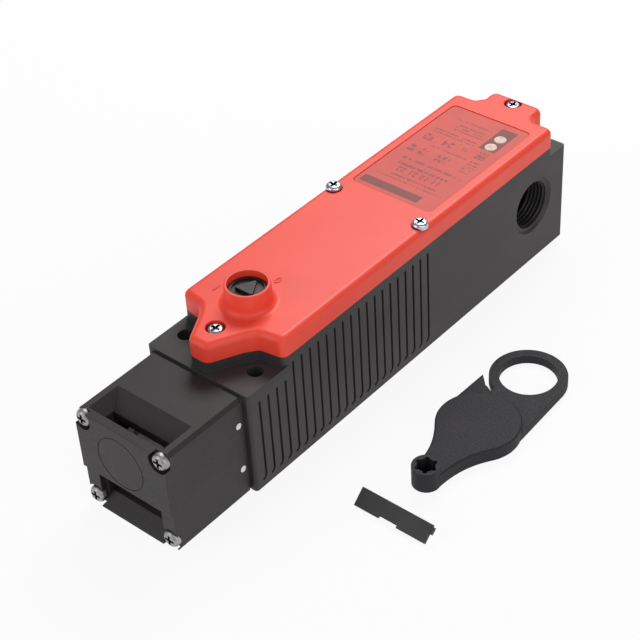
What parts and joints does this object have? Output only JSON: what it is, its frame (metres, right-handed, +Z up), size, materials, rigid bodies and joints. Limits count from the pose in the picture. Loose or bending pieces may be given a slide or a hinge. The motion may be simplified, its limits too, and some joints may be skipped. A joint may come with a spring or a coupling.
{
  "type": "tongue interlock switch",
  "caption": "Long black safety switch with a red screwed cover, a slotted turning head for a tongue, a magnet lock, a key release, and a loose release key and slot plug beside it.",
  "frame": {"origin": "middle of the four fixing holes, on the mounting face", "axes": "+Z up out of the mounting face, +Y from the head to the rear of the body, X across"},
  "size_m": [0.1004, 0.209, 0.0585],
  "materials": {
    "black_housing": "fine moulded grain",
    "red_cover": "satin moulded",
    "seal_rubber": "smooth",
    "zinc_screw": "bright zinc plate",
    "label_film": "translucent film",
    "lamp_lens": "frosted lens",
    "board_green": "lacquered board",
    "inner_plastic": "moulded",
    "black_head": "satin moulded",
    "bright_steel": "ground",
    "spring_steel": "drawn wire",
    "magnet_iron": "plated",
    "copper_coil": "lacquered winding",
    "contact_brass": "bright",
    "rod_plastic": "moulded",
    "black_spindle": "blackened die casting",
    "black_key": "moulded",
    "black_plug": "moulded"
  },
  "bodies": {
    "switch_body": {"housing": "black_housing", "cover": "red_cover", "cover_gasket": "seal_rubber", "cover_screws": "zinc_screw", "label": "label_film", "lamp_lenses": "lamp_lens", "lamp_board": "board_green", "board_posts": "inner_plastic", "head_housing": "black_head", "head_gasket": "seal_rubber", "head_base": "black_head", "head_pins": "bright_steel", "head_screws": "zinc_screw", "wheel_axle": "bright_steel", "rod_spring": "spring_steel", "tongue_block": "inner_plastic", "terminal_screws": "zinc_screw", "armature_spring": "spring_steel", "magnet_frame": "magnet_iron", "coil_bobbin": "inner_plastic", "coil_winding": "copper_coil", "lock_block": "inner_plastic", "earth_terminal": "contact_brass", "earth_screw": "zinc_screw"},
    "cam_wheel": {"cam_wheel": "bright_steel"},
    "push_rod": {"push_rod": "rod_plastic", "tongue_bridge": "contact_brass"},
    "lock_slide": {"lock_slide": "bright_steel", "armature": "magnet_iron", "lock_bridge": "contact_brass"},
    "release_spindle": {"release_spindle": "black_spindle", "spindle_clip": "spring_steel", "release_cam": "bright_steel"},
    "release_key": {"release_key": "black_key"},
    "slot_plug": {"slot_plug": "black_plug"}
  },
  "joints": [
    {"name": "wheel_turn", "type": "hinge", "parent": "switch_body", "child": "cam_wheel", "pos_m": [0, -0.106, 0.0197], "axis": [1, 0, 0], "range_deg": [0, 50]},
    {"name": "rod_slide", "type": "slide", "parent": "switch_body", "child": "push_rod", "axis": [0, 1, 0], "range_m": [-0.004, 0], "deforming": ["rod_spring"]},
    {"name": "release_turn", "type": "hinge", "parent": "switch_body", "child": "release_spindle", "pos_m": [0, -0.0636, 0.055], "axis": [0, 0, 1], "range_deg": [0, 90]},
    {"name": "lock_draw", "type": "slide", "parent": "switch_body", "child": "lock_slide", "axis": [0, 1, 0], "range_m": [0, 0.004], "deforming": ["armature_spring"]},
    {"name": "key_lift", "type": "slide", "parent": "switch_body", "child": "release_key", "axis": [0, 0, 1], "range_m": [0, 0.05]},
    {"name": "plug_lift", "type": "slide", "parent": "switch_body", "child": "slot_plug", "axis": [0, 0, 1], "range_m": [0, 0.05]}
  ],
  "couplings": [
    {"joint": "rod_slide", "follows": "wheel_turn", "m_per_rad": -0.0045837},
    {"joint": "release_turn", "follows": "lock_draw", "rad_per_m": 392.7}
  ]
}
